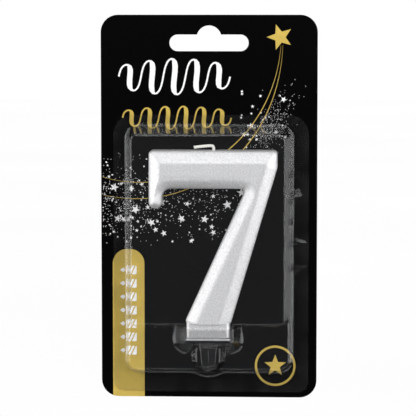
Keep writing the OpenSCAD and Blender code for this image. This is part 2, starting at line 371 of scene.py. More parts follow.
def group_socket(group, name, in_out, kind, default=None):
    """Adds one named input or output to a node group."""
    socket = group.interface.new_socket(name, in_out=in_out, socket_type=kind)
    if default is not None:
        socket.default_value = default


def add_node(tree, kind, **inputs):
    """Adds a node and fills its inputs: a socket is linked, any other value is set."""
    node = tree.nodes.new(kind)
    for name, value in inputs.items():
        socket = node.inputs[int(name[1:])] if name[0] == "_" else node.inputs[name.replace("_", " ")]
        if isinstance(value, bpy.types.NodeSocket):
            tree.links.new(value, socket)
        else:
            socket.default_value = value
    return node


def grain_group():
    """Fine grain on object coordinates: a mask between two limits, and the height it comes from."""
    group = bpy.data.node_groups.get("Fine Grain")
    if group:
        return group
    group = bpy.data.node_groups.new("Fine Grain", "ShaderNodeTree")
    group_socket(group, "Grains Per Metre", "INPUT", "NodeSocketFloat", 1000.0)
    group_socket(group, "Stretch", "INPUT", "NodeSocketVector", (1.0, 1.0, 1.0))
    group_socket(group, "Detail", "INPUT", "NodeSocketFloat", 3.0)
    group_socket(group, "Low", "INPUT", "NodeSocketFloat", 0.0)
    group_socket(group, "High", "INPUT", "NodeSocketFloat", 1.0)
    group_socket(group, "Value", "OUTPUT", "NodeSocketFloat")
    group_socket(group, "Height", "OUTPUT", "NodeSocketFloat")
    given = group.nodes.new("NodeGroupInput").outputs
    place = group.nodes.new("ShaderNodeTexCoord").outputs["Object"]
    placed = add_node(group, "ShaderNodeMapping", Vector=place, Scale=given["Stretch"])
    noise = add_node(
        group, "ShaderNodeTexNoise",
        Vector=placed.outputs[0], Scale=given["Grains Per Metre"], Detail=given["Detail"], Roughness=0.6,
    )
    spread = add_node(
        group, "ShaderNodeMapRange",
        Value=noise.outputs[0], From_Min=0.3, From_Max=0.7, To_Min=given["Low"], To_Max=given["High"],
    )
    out = group.nodes.new("NodeGroupOutput").inputs
    group.links.new(spread.outputs[0], out["Value"])
    group.links.new(noise.outputs[0], out["Height"])
    return group


def grain(tree, per_metre, low, high, stretch=(1.0, 1.0, 1.0), detail=3.0):
    """Places the grain group in a material. Its outputs are Value and Height."""
    node = tree.nodes.new("ShaderNodeGroup")
    node.node_tree = grain_group()
    for name, value in {
        "Grains Per Metre": per_metre, "Low": low, "High": high, "Stretch": stretch, "Detail": detail,
    }.items():
        node.inputs[name].default_value = value
    return node.outputs


def rgba(colour, shade=1.0):
    """A colour scaled by shade, with alpha 1."""
    return (*(min(1.0, c * shade) for c in colour), 1.0)


def blend_colours(tree, factor, a, b):
    """The colour between a and b at factor."""
    node = tree.nodes.new("ShaderNodeMix")
    node.data_type = "RGBA"
    tree.links.new(factor, node.inputs["Factor"])
    for socket, value in ((node.inputs[6], a), (node.inputs[7], b)):
        if isinstance(value, bpy.types.NodeSocket):
            tree.links.new(value, socket)
        else:
            socket.default_value = value
    return node.outputs[2]


def bump(tree, height, strength, distance):
    """The normal of a bumpy surface."""
    return add_node(tree, "ShaderNodeBump", Height=height, Strength=strength, Distance=distance).outputs[0]


def mix_shaders(tree, share, first, second):
    """The first shader with a share of the second over it."""
    node = tree.nodes.new("ShaderNodeMixShader")
    for socket, source in zip(node.inputs, (share, first.outputs[0], second.outputs[0])):
        tree.links.new(source, socket)
    return node


def calculate(tree, operation, a, b):
    """What a Math node makes of two values."""
    node = add_node(tree, "ShaderNodeMath", _0=a, _1=b)
    node.operation = operation
    return node.outputs[0]


def mark(tree, name):
    """The value of a piece's own point attribute."""
    node = tree.nodes.new("ShaderNodeAttribute")
    node.attribute_name = name
    return node.outputs["Fac"]


def new_material(name):
    """A new material and its empty node tree."""
    material = bpy.data.materials.new(name)
    material.use_nodes = True
    material.node_tree.nodes.clear()
    return material, material.node_tree


def show(tree, shader):
    """Puts a shader out as the material's surface."""
    add_node(tree, "ShaderNodeOutputMaterial", Surface=shader.outputs[0])


def silver_lacquer(colour):
    """Sprayed metallic lacquer over wax: soft broad gloss with a fine sparkle."""
    material, tree = new_material("silver_lacquer")
    flake = grain(tree, 1500.0, 0.0, 1.0, detail=3.0)
    cloud = grain(tree, 240.0, 0.46, 0.54, stretch=(1.0, 1.0, 2.2))
    shader = add_node(
        tree, "ShaderNodeBsdfPrincipled",
        Metallic=0.8, Roughness=cloud["Value"],
        Base_Color=blend_colours(tree, flake["Value"], rgba(colour, 0.84), rgba(colour, 1.12)),
        Normal=bump(tree, flake["Height"], 0.25, 0.04 * MM),
    )
    show(tree, shader)
    return material


def cotton_yarn(colour):
    """Bleached cotton strands with a slight fuzz."""
    material, tree = new_material("cotton_yarn")
    fibre = grain(tree, 5200.0, 0.0, 1.0, stretch=(0.5, 1.0, 1.0), detail=4.0)
    shader = add_node(
        tree, "ShaderNodeBsdfPrincipled",
        Roughness=0.9, Sheen_Weight=0.25, Sheen_Roughness=0.5,
        Base_Color=blend_colours(tree, fibre["Value"], rgba(colour, 0.82), rgba(colour, 1.08)),
        Normal=bump(tree, fibre["Height"], 0.6, 0.06 * MM),
    )
    show(tree, shader)
    return material


def clear_sheet(name, ior, mirror, haze):
    """Clear plastic: it mirrors the room a little, more at a slant, and has a white haze on its steep walls that
    is partly real whitening of the drawn sheet and partly painted light standing in for the side lamps seen
    through the walls.

    The mirror's share follows the angle alike on both faces, so the sheet stays clear at a slant.
    """
    material, tree = new_material(name)
    scuff = grain(tree, 420.0, 0.05, 0.10, detail=4.0)
    surface = add_node(
        tree, "ShaderNodeBsdfPrincipled", Base_Color=rgba(mirror), Metallic=1.0, Roughness=scuff["Value"],
    )
    # Painted light and real haze: the white layer on the steep walls is full where they face the side lamps and
    # weak at top and bottom, standing in for lamp light seen through the walls as well as the whitening of the
    # drawn sheet.
    cloud = grain(tree, 1300.0, 0.6, 1.1, detail=3.0)
    stretch_and_side_light = calculate(tree, "MULTIPLY", mark(tree, "stretch"), cloud["Value"])
    hazy = add_node(
        tree, "ShaderNodeBsdfPrincipled",
        Base_Color=(0.9, 0.91, 0.92, 1.0), Roughness=0.55, Alpha=calculate(tree, "MULTIPLY", stretch_and_side_light, haze),
    )
    slant = add_node(tree, "ShaderNodeLayerWeight", Blend=0.5)
    rise = calculate(tree, "POWER", slant.outputs["Facing"], 5.0)
    head_on = ((ior - 1) / (ior + 1)) ** 2
    edge = add_node(tree, "ShaderNodeMapRange", Value=rise, To_Min=head_on, To_Max=1.0)
    free = add_node(tree, "ShaderNodeMapRange", Value=mark(tree, "bonded"), To_Min=1.0, To_Max=0.12)
    shine = calculate(tree, "MULTIPLY", edge.outputs[0], free.outputs[0])
    show(tree, mix_shaders(tree, shine, hazy, surface))
    return material


def seal_lacquer():
    """The thin matt haze of heat-seal lacquer."""
    material, tree = new_material("seal_lacquer")
    haze = grain(tree, 900.0, 0.001, 0.005, detail=3.0)
    film = add_node(
        tree, "ShaderNodeBsdfPrincipled",
        Base_Color=(0.6, 0.6, 0.6, 1.0), Roughness=0.5, Alpha=haze["Value"],
    )
    show(tree, film)
    return material


def printed_card(black, core):
    """Coated card: printed black on its face, bare paperboard at its edges and back."""
    material, tree = new_material("printed_card")
    depth = add_node(
        tree, "ShaderNodeSeparateXYZ", Vector=tree.nodes.new("ShaderNodeTexCoord").outputs["Object"],
    ).outputs["Y"]
    bare = calculate(tree, "GREATER_THAN", depth, 0.03 * MM)
    fibre = grain(tree, 700.0, 0.0, 1.0, stretch=(1.0, 1.0, 0.35), detail=5.0)
    paper = blend_colours(tree, fibre["Value"], rgba(core, 0.86), rgba(core, 1.08))
    ink = blend_colours(tree, fibre["Value"], rgba(black, 0.8), rgba(black, 1.25))
    matt = add_node(
        tree, "ShaderNodeMapRange", Value=bare, From_Min=0.0, From_Max=1.0, To_Min=0.3, To_Max=0.85,
    )
    shader = add_node(
        tree, "ShaderNodeBsdfPrincipled",
        Base_Color=blend_colours(tree, bare, ink, paper), Roughness=matt.outputs[0],
        Specular_IOR_Level=0.05, Normal=bump(tree, fibre["Height"], 0.08, 0.02 * MM),
    )
    show(tree, shader)
    return material


def gold_foil(colour):
    """Hot-stamped foil: metallic, with the faint unevenness of the card under it."""
    material, tree = new_material("gold_foil")
    press = grain(tree, 900.0, 0.38, 0.5, detail=3.0)
    tone = grain(tree, 110.0, 0.0, 1.0, detail=2.0)
    shader = add_node(
        tree, "ShaderNodeBsdfPrincipled",
        Metallic=0.35, Roughness=press["Value"],
        Base_Color=blend_colours(tree, tone["Value"], rgba(colour, 0.92), rgba(colour, 1.1)),
        Normal=bump(tree, press["Height"], 0.2, 0.04 * MM),
    )
    show(tree, shader)
    return material


def white_print(colour):
    """White screen ink, a little uneven and slightly raised."""
    material, tree = new_material("white_print")
    cover = grain(tree, 1500.0, 0.0, 1.0, detail=3.0)
    shader = add_node(
        tree, "ShaderNodeBsdfPrincipled",
        Roughness=0.45,
        Base_Color=blend_colours(tree, cover["Value"], rgba(colour, 0.84), rgba(colour, 1.12)),
        Normal=bump(tree, cover["Height"], 0.2, 0.03 * MM),
    )
    show(tree, shader)
    return material


FINISHES = {}


def finish_for(slot):
    """The material for a slot of the record, made the first time it is asked for."""
    colours = bpy.context.scene.pack_finishes
    makers = {
        "silver_wax": lambda: silver_lacquer(colours.silver),
        "cotton_wick": lambda: cotton_yarn(colours.cotton),
        "clear_pet": lambda: clear_sheet("clear_pet", 1.45, (0.95, 0.96, 0.97), 0.14),
        "clear_styrene": lambda: clear_sheet("clear_styrene", 1.5, (0.9, 0.91, 0.92), 0.0),
        "seal_lacquer": seal_lacquer,
        "black_card": lambda: printed_card(colours.card_black, colours.card_core),
        "gold_foil": lambda: gold_foil(colours.gold),
        "white_ink": lambda: white_print(colours.white),
    }
    if slot not in FINISHES:
        FINISHES[slot] = makers[slot]()
    return FINISHES[slot]


# ---------------------------------------------------------------- pieces


class OBJECT_OT_candle_number(bpy.types.Operator):
    """Build the lacquered wax number with its pillowed face and its tenon"""

    bl_idname = "object.candle_number"
    bl_label = "Wax Number"

    def execute(self, context):
        sizes = context.scene.candle_sizes
        low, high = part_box("wax_digit")
        outline_step = 0.45 * MM
        outline = split_runs(front_outline("wax_digit"), outline_step)
        number = self.pillow(sizes, outline, low.y)
        self.back(number, high.y, sizes.back_bevel)
        foot = min(z for _, z in outline)
        fuse(number, self.tenon(sizes, foot))
        smooth(number, 40)
        hand_over(number, "candle", "silver_wax", "wax_digit")
        return {"FINISHED"}

    def pillow(self, sizes, outline, face_y):
        """The face: it falls away in a round shoulder towards its outline, apart from the foot."""
        rim = np.array(outline)
        along = np.roll(rim, -1, axis=0) - np.roll(rim, 1, axis=0)
        inward = np.column_stack([-along[:, 1], along[:, 0]]) / np.linalg.norm(along, axis=1)[:, None]
        ring_depths = (0.08 * MM, 0.2 * MM, 0.4 * MM, 0.7 * MM, 1.1 * MM)
        face_step, ring_zone, foot_zone, shoulder_curve = 0.62 * MM, 1.45 * MM, 0.3 * MM, 1.6
        loose = []
        for depth in ring_depths:
            ring = rim + inward * depth
            loose.append(ring[outline_gap(ring, outline) > 0.96 * depth])
        middle = lattice(rim.min(axis=0), rim.max(axis=0), face_step)
        loose.append(middle[outline_gap(middle, outline) > ring_zone])
        flat, faces = fill_outline(outline, [], np.concatenate(loose))
        foot = min(z for _, z in outline)
        rounded = [(x, z - sizes.shoulder_width if z < foot + foot_zone else z) for x, z in outline]
        rise = 1 - np.clip(outline_gap(flat, rounded) / sizes.shoulder_width, 0, 1)
        gap = outline_gap(flat, outline)
        lip = sizes.lip_radius * np.exp(-gap / (0.5 * sizes.lip_radius))
        fall = sizes.shoulder_drop * rise**shoulder_curve + lip
        at_foot = flat[:, 1] < foot + TOUCH
        fall[at_foot] = np.maximum(fall[at_foot], sizes.lip_radius)
        points = np.column_stack([flat[:, 0], face_y + fall, flat[:, 1]])
        return new_piece("number_seven", points, faces)

    def back(self, number, back_y, bevel):
        """The side wall and the flat back with its small bevel."""
        bpy.ops.object.mode_set(mode="EDIT")
        choose(number, "EDGE", lambda edge: edge.is_boundary)
        bpy.ops.mesh.extrude_edges_move(TRANSFORM_OT_translate={"value": (0, 0, 0)})
        rim = [v for v in bmesh.from_edit_mesh(number.data).verts if v.select]
        for v in rim:
            v.co.y = back_y
        bpy.ops.mesh.edge_face_add()
        choose(number, "EDGE", lambda edge: all(v.co.y > back_y - TOUCH for v in edge.verts))
        bpy.ops.mesh.bevel(offset=bevel, segments=3, affect="EDGES")
        bpy.ops.mesh.select_all(action="SELECT")
        bpy.ops.mesh.normals_make_consistent(inside=False)
        bpy.ops.object.mode_set(mode="OBJECT")

    def tenon(self, sizes, foot):
        """The block under the foot, with a lip round its lower end. Its top is inside the foot."""
        node = frame["nodes"]["wax_digit"].data
        lowest = min(v.co.z for v in node.vertices)
        corners = [v.co for v in node.vertices if v.co.z < lowest + TOUCH]
        low = Vector((min(c.x for c in corners), min(c.y for c in corners), lowest))
        root, groove_height, groove_depth, foot_round = 0.9 * MM, 0.35 * MM, 0.3 * MM, 0.25 * MM
        high = Vector((max(c.x for c in corners), max(c.y for c in corners), foot + root))
        block = new_block("tenon", low, high)
        groove = lowest + sizes.tenon_lip
        bpy.ops.object.mode_set(mode="EDIT")
        for z in (groove, groove + groove_height):
            bpy.ops.mesh.select_all(action="SELECT")
            bpy.ops.mesh.bisect(plane_co=(0, 0, z), plane_no=(0, 0, 1))
        choose(block, "VERT", lambda v: v.co.z > groove + TOUCH)
        shrink = (1 - 2 * groove_depth / (high.x - low.x), 1 - 2 * groove_depth / (high.y - low.y))
        bpy.ops.transform.resize(
            value=(*shrink, 1), center_override=((low.x + high.x) / 2, (low.y + high.y) / 2, groove),
        )
        choose(block, "EDGE", upright)
        bpy.ops.mesh.bevel(offset=sizes.tenon_bevel, segments=5, affect="EDGES")
        choose(
            block, "EDGE",
            lambda edge: all(v.co.z < groove + TOUCH for v in edge.verts) and not upright(edge),
        )
        bpy.ops.mesh.bevel(offset=foot_round, segments=3, affect="EDGES")
        bpy.ops.object.mode_set(mode="OBJECT")
        return block


class OBJECT_OT_candle_wick(bpy.types.Operator):
    """Build the twisted cotton wick: its buried core and its bare end"""

    bl_idname = "object.candle_wick"
    bl_label = "Wick"

    def execute(self, context):
        sizes = context.scene.candle_sizes
        tip_low, tip_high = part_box("wick_tip")
        y = (tip_low.y + tip_high.y) / 2
        bend = self.bend()
        radius, sunk = 1.0 * MM, 0.8 * MM
        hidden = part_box("wax_digit")[1].z - sunk
        rise = [Vector((bend.x, y, hidden + (bend.z - radius - hidden) * k / 4)) for k in range(5)]
        arc = [
            Vector((
                bend.x - radius + radius * math.cos(math.radians(t)), y,
                bend.z - radius + radius * math.sin(math.radians(t)),
            ))
            for t in range(12, 91, 13)
        ]
        reach, steps = bend.x - radius - tip_low.x, 14
        laid = [
            Vector((bend.x - radius - reach * k / steps, y, bend.z - sizes.wick_sag * (k / steps) ** 1.6))
            for k in range(1, steps + 1)
        ]
        end = self.yarn("wick_bare_end", rise + arc + laid, sizes, fray=0.22 * MM)
        hand_over(end, None, "cotton_wick", "wick_tip")
        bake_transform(end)
        core = self.yarn("wick_buried_core", self.route(hidden), sizes)
        hand_over(core, "candle", "cotton_wick", "wick_core")
        return {"FINISHED"}

    def bend(self):
        """The point that the bare end turns about."""
        for joint in frame["joints"]:
            if joint["child"] == "wick_end":
                return Vector(joint["pos_m"])
        raise RuntimeError("the frame has no joint for the end of the wick")

    def route(self, top):
        """Middles of the CAD core's rings, from just under the top of the wax to its lower end."""
        ring_edge, point_step = 0.45 * MM, 1.2 * MM
        shape = bmesh.new()
        shape.from_mesh(frame["nodes"]["wick_core"].data)
        bmesh.ops.remove_doubles(shape, verts=shape.verts, dist=TOUCH)
        shape.verts.index_update()
        left = set(shape.verts)
        rings = []
        while left:
            ring, near = set(), [left.pop()]
            while near:
                v = near.pop()
                ring.add(v)
                for edge in v.link_edges:
                    other = edge.other_vert(v)
                    if other in left and edge.calc_length() < ring_edge:
                        left.discard(other)
                        near.append(other)
            in_order = sorted(ring, key=lambda v: v.index)
            rings.append(sum((v.co for v in in_order), Vector()) / len(ring))
        shape.free()
        rings.sort(key=lambda p: -p.z)
        rings[0].z = top
        points = []
        for a, b in zip(rings, rings[1:]):
            parts = max(2, round((b - a).length / point_step))
            points += [a.lerp(b, k / parts) for k in range(parts)]
        return points + [rings[-1]]

    def yarn(self, name, path, sizes, fray=0.0):
        """Three strands twisted round a path. They part a little at its far end."""
        spacing, parting = 0.2 * MM, 1.6 * MM
        fine = self.resample(path, spacing)
        turn_each = 2 * math.pi * spacing / sizes.twist_pitch
        strands = []
        for strand in range(3):
            curve = bpy.data.curves.new(name, "CURVE")
            curve.dimensions = "3D"
            curve.bevel_depth = sizes.strand_radius
            curve.bevel_resolution = 2
            curve.use_fill_caps = True
            spline = curve.splines.new("POLY")
            spline.points.add(len(fine) - 1)
            for i, point in enumerate(fine):
                ahead = (fine[min(i + 1, len(fine) - 1)] - fine[max(i - 1, 0)]).normalized()
                out = Vector((0, 1, 0))
                side = ahead.cross(out).normalized()
                to_end = max(0.0, 1 - (len(fine) - 1 - i) * spacing / parting)
                away = 0.82 * sizes.strand_radius + fray * to_end**2
                turn = i * turn_each + strand * 2 * math.pi / 3
                place = point + away * (math.cos(turn) * side + math.sin(turn) * out)
                spline.points[i].co = (*place, 1)
                spline.points[i].radius = 1 - 0.25 * to_end if fray else 1.0
            piece = bpy.data.objects.new(name, curve)
            bpy.context.scene.collection.objects.link(piece)
            strands.append(piece)
        pick(*strands)
        bpy.ops.object.convert(target="MESH")
        weld()
        bpy.ops.object.join()
        piece = bpy.context.object
        piece.name = name
        smooth(piece, 60)
        return piece

    def resample(self, path, spacing):
        """The same path at even steps."""
        points = [path[0]]
        spare = 0.0
        for a, b in zip(path, path[1:]):
            run = (b - a).length
            at = spacing - spare
            while at <= run:
                points.append(a.lerp(b, at / run))
                at += spacing
            spare = (spare + run) % spacing
        return points


class OBJECT_OT_candle_holder(bpy.types.Operator):
    """Build the clear moulded cup and spike that holds the candle in a cake"""

    bl_idname = "object.candle_holder"
    bl_label = "Cake Holder"

    def execute(self, context):
        sizes = context.scene.candle_sizes
        low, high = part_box("holder")
        middle = (low + high) / 2
        cup_low = high.z - sizes.cup_height
        corner, rim_round = 1.5 * MM, 0.22 * MM
        holder = new_block("clear_cake_holder", (low.x, low.y, cup_low), (high.x, high.y, high.z))
        bpy.ops.object.mode_set(mode="EDIT")
        choose(holder, "EDGE", upright)
        bpy.ops.mesh.bevel(offset=corner, segments=6, affect="EDGES")
        choose(holder, "FACE", lambda face: face.normal.z > 0.9)
        bpy.ops.mesh.inset(thickness=sizes.cup_wall)
        depth = sizes.cup_height - sizes.cup_floor
        bpy.ops.mesh.extrude_region_move(TRANSFORM_OT_translate={"value": (0, 0, -depth)})
        choose(holder, "EDGE", lambda edge: self.on_rim(edge, cup_low, high.z))
        bpy.ops.mesh.bevel(offset=rim_round, segments=3, affect="EDGES")
        bpy.ops.object.mode_set(mode="OBJECT")
        fuse(holder, self.spike(sizes, middle, low.z, cup_low), self.rib(middle, low.z, cup_low))
        smooth(holder, 35)
        hand_over(holder, "cake_holder", "clear_styrene", "holder")
        return {"FINISHED"}

    def on_rim(self, edge, bottom, top):
        """True for a sharp edge of the cup's foot or of its rim."""
        level = any(all(abs(v.co.z - z) < TOUCH for v in edge.verts) for z in (bottom, top))
        return level and edge.calc_face_angle(0) > 0.7

    def spike(self, sizes, middle, tip, root):
        """The flat blade: it narrows downwards to a round end."""
        half, thick = sizes.spike_width / 2, sizes.blade_thickness / 2
        into_cup, end_width, end_round, edge_round = 0.5 * MM, 2 / 3, 1.6 * MM, 0.3 * MM
        blade = new_block(
            "spike", (middle.x - half, middle.y - thick, tip),
            (middle.x + half, middle.y + thick, root + into_cup),
        )
        bpy.ops.object.mode_set(mode="EDIT")
        choose(blade, "VERT", lambda v: v.co.z < tip + TOUCH)
        bpy.ops.transform.resize(value=(end_width, 1, 1), center_override=(middle.x, middle.y, tip))
        choose(blade, "EDGE", lambda e: all(v.co.z < tip + TOUCH for v in e.verts) and self.runs_deep(e))
        bpy.ops.mesh.bevel(offset=end_round, segments=8, affect="EDGES")
        choose(blade, "EDGE", lambda e: e.calc_face_angle(0) > 0.7 and not self.runs_deep(e))
        bpy.ops.mesh.bevel(offset=edge_round, segments=3, affect="EDGES")
        bpy.ops.object.mode_set(mode="OBJECT")
        return blade

    def runs_deep(self, edge):
        """True for an edge that runs along Y."""
        run = edge.verts[1].co - edge.verts[0].co
        return abs(run.y) > 0.9 * run.length

    def rib(self, middle, tip, root):
        """The thin rib up the middle of the blade. It runs out to a point."""
        half, deep, start, into_cup = 0.6 * MM, 1.5 * MM, tip + 2.5 * MM, 0.5 * MM
        rib = new_block(
            "rib", (middle.x - half, middle.y - deep, start),
            (middle.x + half, middle.y + deep, root + into_cup),
        )
        bpy.ops.object.mode_set(mode="EDIT")
        choose(rib, "VERT", lambda v: v.co.z < start + TOUCH)
        bpy.ops.transform.resize(value=(0.15, 0.6, 1), center_override=(middle.x, middle.y, tip))
        bpy.ops.mesh.select_all(action="SELECT")
        bpy.ops.mesh.bevel(offset=0.12 * MM, segments=2, affect="EDGES")
        bpy.ops.object.mode_set(mode="OBJECT")
        return rib


def soft_min(a, b, soft):
    """The smaller of two heights, rounded where they cross."""
    near = np.maximum(soft - np.abs(a - b), 0) / soft
    return np.minimum(a, b) - near * near * soft / 4


class OBJECT_OT_candle_blister(bpy.types.Operator):
    """Form the clear blister: flange, dome, shelf and the two pockets"""

    bl_idname = "object.candle_blister"
    bl_label = "Blister"

    def execute(self, context):
        sizes = context.scene.blister_sizes
        low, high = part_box("blister_shell")
        low_corner, high_corner, run = 4 * MM, 8 * MM, 5 * MM
        outline = corner_box(low.x, low.z, high.x, high.z, low_corner, high_corner, run)
        outside = self.skin("clear_blister", outline, sizes, low, high, sizes.film)
        inside = self.skin("blister_inside", outline, sizes, low, high, 0.0)
        pick(inside)
        bpy.ops.object.mode_set(mode="EDIT")
        bpy.ops.mesh.select_all(action="SELECT")
        bpy.ops.mesh.flip_normals()
        bpy.ops.object.mode_set(mode="OBJECT")
        count = len(outline)
        corners = [(x, high.y - sizes.film, z) for x, z in outline] + [(x, high.y, z) for x, z in outline]
        rim = [(i, i + count, (i + 1) % count + count, (i + 1) % count) for i in range(count)]
        edge = new_piece("blister_edge", corners, rim)
        pick(outside, inside, edge)
        bpy.ops.object.join()
        weld()
        smooth(outside, 50)
        hand_over(outside, "blister", "clear_pet", "blister_shell")
        return {"FINISHED"}

    def skin(self, name, outline, sizes, low, high, grow):
        """One face of the formed sheet, grown outwards from its inner face."""
        wells = self.wells(sizes, low, high, grow)
        rings = [ring for well in wells for ring in self.rings(well, sizes)]
        flat, faces = fill_outline(outline, rings, self.close_points(sizes, low, high))
        height = np.full(len(flat), grow)
        for well in wells:
            inset = -box_gap(flat, *well["box"], well["radius"])
            wall = grow + self.profile(inset, well["depth"], well["draft"], sizes.fillet)
            if well["lugs"]:
                wall = self.add_lugs(flat, wall, sizes, high)
            joined = -soft_min(-height, -wall, sizes.crease)
            height = np.where(wall > grow + TOUCH, joined, height)
        height = np.minimum(height, high.y - low.y)
        on_rim = np.minimum(flat - (low.x, low.z), (high.x, high.z) - flat).min(axis=1) < TOUCH
        height[on_rim] = grow
        sheet = new_piece(name, np.column_stack([flat[:, 0], high.y - height, flat[:, 1]]), faces)
        self.mark_sheet(sheet, height < grow + 0.05 * MM)
        return sheet

    def mark_sheet(self, sheet, flat_on_card):
        """Marks the steep walls for a white haze that is partly whitening of the drawn sheet and partly painted
        light from the side lamps, and where the sheet is bonded flat to the card.
        """
        lean = np.array([v.normal for v in sheet.data.vertices])
        # Painted light: the haze mark is full on walls facing the side lamps and only 0.15 on top and bottom
        # walls, standing in for lamp light through the walls; it also stands for the real whitening where the
        # sheet is drawn up steep walls.
        faces_side_lamps = np.clip((np.abs(lean[:, 0]) - 0.93) / 0.04, 0, 1)
        upright = np.clip((np.abs(lean[:, 2]) - 0.93) / 0.04, 0, 1) * 0.15
        for name, value in (("stretch", np.maximum(faces_side_lamps, upright)), ("bonded", flat_on_card)):
            mark = sheet.data.attributes.new(name, "FLOAT", "POINT")
            mark.data.foreach_set("value", np.asarray(value, np.float32))

    def profile(self, inset, depth, draft, radius):
        """Height of a drafted wall at an inset from its foot, with both its edges rounded."""
        reach = radius * math.tan((math.pi / 2 - draft) / 2)
        slant = reach * math.sin(draft)
        edge = depth * math.tan(draft)
        foot = radius - np.sqrt(np.maximum(radius**2 - (inset + reach) ** 2, 0))
        front = depth - radius + np.sqrt(np.maximum(radius**2 - (inset - edge - reach) ** 2, 0))
        height = inset / math.tan(draft)
        height = np.where(inset < slant, foot, height)
        height = np.where(inset > edge - slant, front, height)
        height = np.where(inset > edge + reach, depth, height)
        return np.where(inset < -reach, 0, height)

    def wells(self, sizes, low, high, grow):
        """Each hollow's outside where it leaves the flange, its depth and its draft."""
        left, right = low.x + sizes.side_left, high.x - sizes.side_right
        top, bottom = high.z - sizes.side_top, low.z + sizes.side_bottom
        step = low.z + sizes.step_height
        holder_low, holder_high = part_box("holder")
        cup_low = holder_high.z - bpy.context.scene.candle_sizes.cup_height
        wells = [
            (left, step - sizes.dome_depth * math.tan(sizes.dome_draft), right, top,
             sizes.well_radius, sizes.dome_depth, sizes.dome_draft, True),
            (left, bottom, right, top, sizes.well_radius, sizes.shelf_depth, sizes.dome_draft, False),
        ]
        flare = sizes.shelf_depth * math.tan(sizes.pocket_draft)
        below_cup, below_spike, into_dome = 3.6 * MM, 2.1 * MM, 4 * MM
        for width, foot, radius, depth in (
            (sizes.base_pocket_width, cup_low - below_cup, 4.5 * MM, sizes.base_pocket_depth),
            (sizes.spike_pocket_width, holder_low.z - below_spike, 6 * MM, sizes.spike_pocket_depth),
        ):
            half = width / 2 + flare
            wells.append((
                -half, foot - flare, half, step + into_dome,
                radius + flare, depth, sizes.pocket_draft, False,
            ))
        out = grow * (1 / math.cos(sizes.dome_draft) - math.tan(sizes.dome_draft))
        return [
            {"box": (a - out, b - out, c + out, d + out), "radius": radius + out,
             "depth": depth, "draft": draft, "lugs": lugs}
            for a, b, c, d, radius, depth, draft, lugs in wells
        ]

    def rings(self, well, sizes):
        """Outlines up one hollow's wall, close together at its two rounded edges."""
        radius, draft = sizes.fillet, well["draft"]
        reach = radius * math.tan((math.pi / 2 - draft) / 2)
        slant = reach * math.sin(draft)
        edge = well["depth"] * math.tan(draft)
        lead = 0.4 * MM
        turns = [math.sin((math.pi / 2 - draft) * k / 7) for k in range(8)]
        at = [-reach - lead, *(radius * turn - reach for turn in turns)]
        at += [slant + (edge - 2 * slant) * k for k in (0.25, 0.5, 0.75)]
        at += [edge + reach - radius * turn for turn in reversed(turns)]
        at.append(edge + reach + lead)
        left, bottom, right, rise = well["box"]
        return [
            corner_box(
                left + u, bottom + u, right - u, rise - u,
                max(well["radius"] - u, 0.1 * MM), max(well["radius"] - u, 0.1 * MM), 4 * MM,
            )
            for u in at
        ]

    def lug_places(self, high):
        """Heights of the small lugs that keep stacked blisters apart."""
        first, pitch, count = 24, 9.4, 5
        return [high.z - (first + pitch * k) * MM for k in range(count)]

    def add_lugs(self, flat, wall, sizes, high):
        """The right wall's height with its lugs: short ribs that stand out from its foot."""
        proud, top, half_length, zone = 0.3 * MM, 7.5 * MM, 0.9 * MM, 3 * MM
        near = np.abs(flat[:, 0] - (high.x - sizes.side_right)) < zone
        ribs = sum(np.exp(-(((flat[:, 1] - z) / half_length) ** 6)) for z in self.lug_places(high))
        raised = np.minimum(wall + proud / math.tan(sizes.dome_draft) * ribs, top)
        return np.where(near & (wall > 0.2 * MM), np.maximum(wall, raised), wall)

    def close_points(self, sizes, low, high):
        """Extra points where the hollows cross and where the lugs stand."""
        step = low.z + sizes.step_height
        right = high.x - sizes.side_right
        pieces = [
            lattice((side - 4 * MM, step - 4 * MM), (side + 4 * MM, step + 1.5 * MM), 0.3 * MM)
            for side in (-12.5 * MM, 12.5 * MM)
        ]
        pieces.append(lattice((-9 * MM, step - 13.5 * MM), (9 * MM, step - 7 * MM), 0.35 * MM))
        pieces.append(lattice((-9 * MM, low.z + 6 * MM), (9 * MM, low.z + 10.5 * MM), 0.35 * MM))
        for z in self.lug_places(high):
            across, up = np.meshgrid(
                np.arange(right - 1.5 * MM, right + 0.7 * MM, 0.07 * MM),
                np.arange(z - 1.6 * MM, z + 1.61 * MM, 0.2 * MM),
            )
            pieces.append(np.column_stack([across.ravel(), up.ravel()]))
        return np.concatenate(pieces)


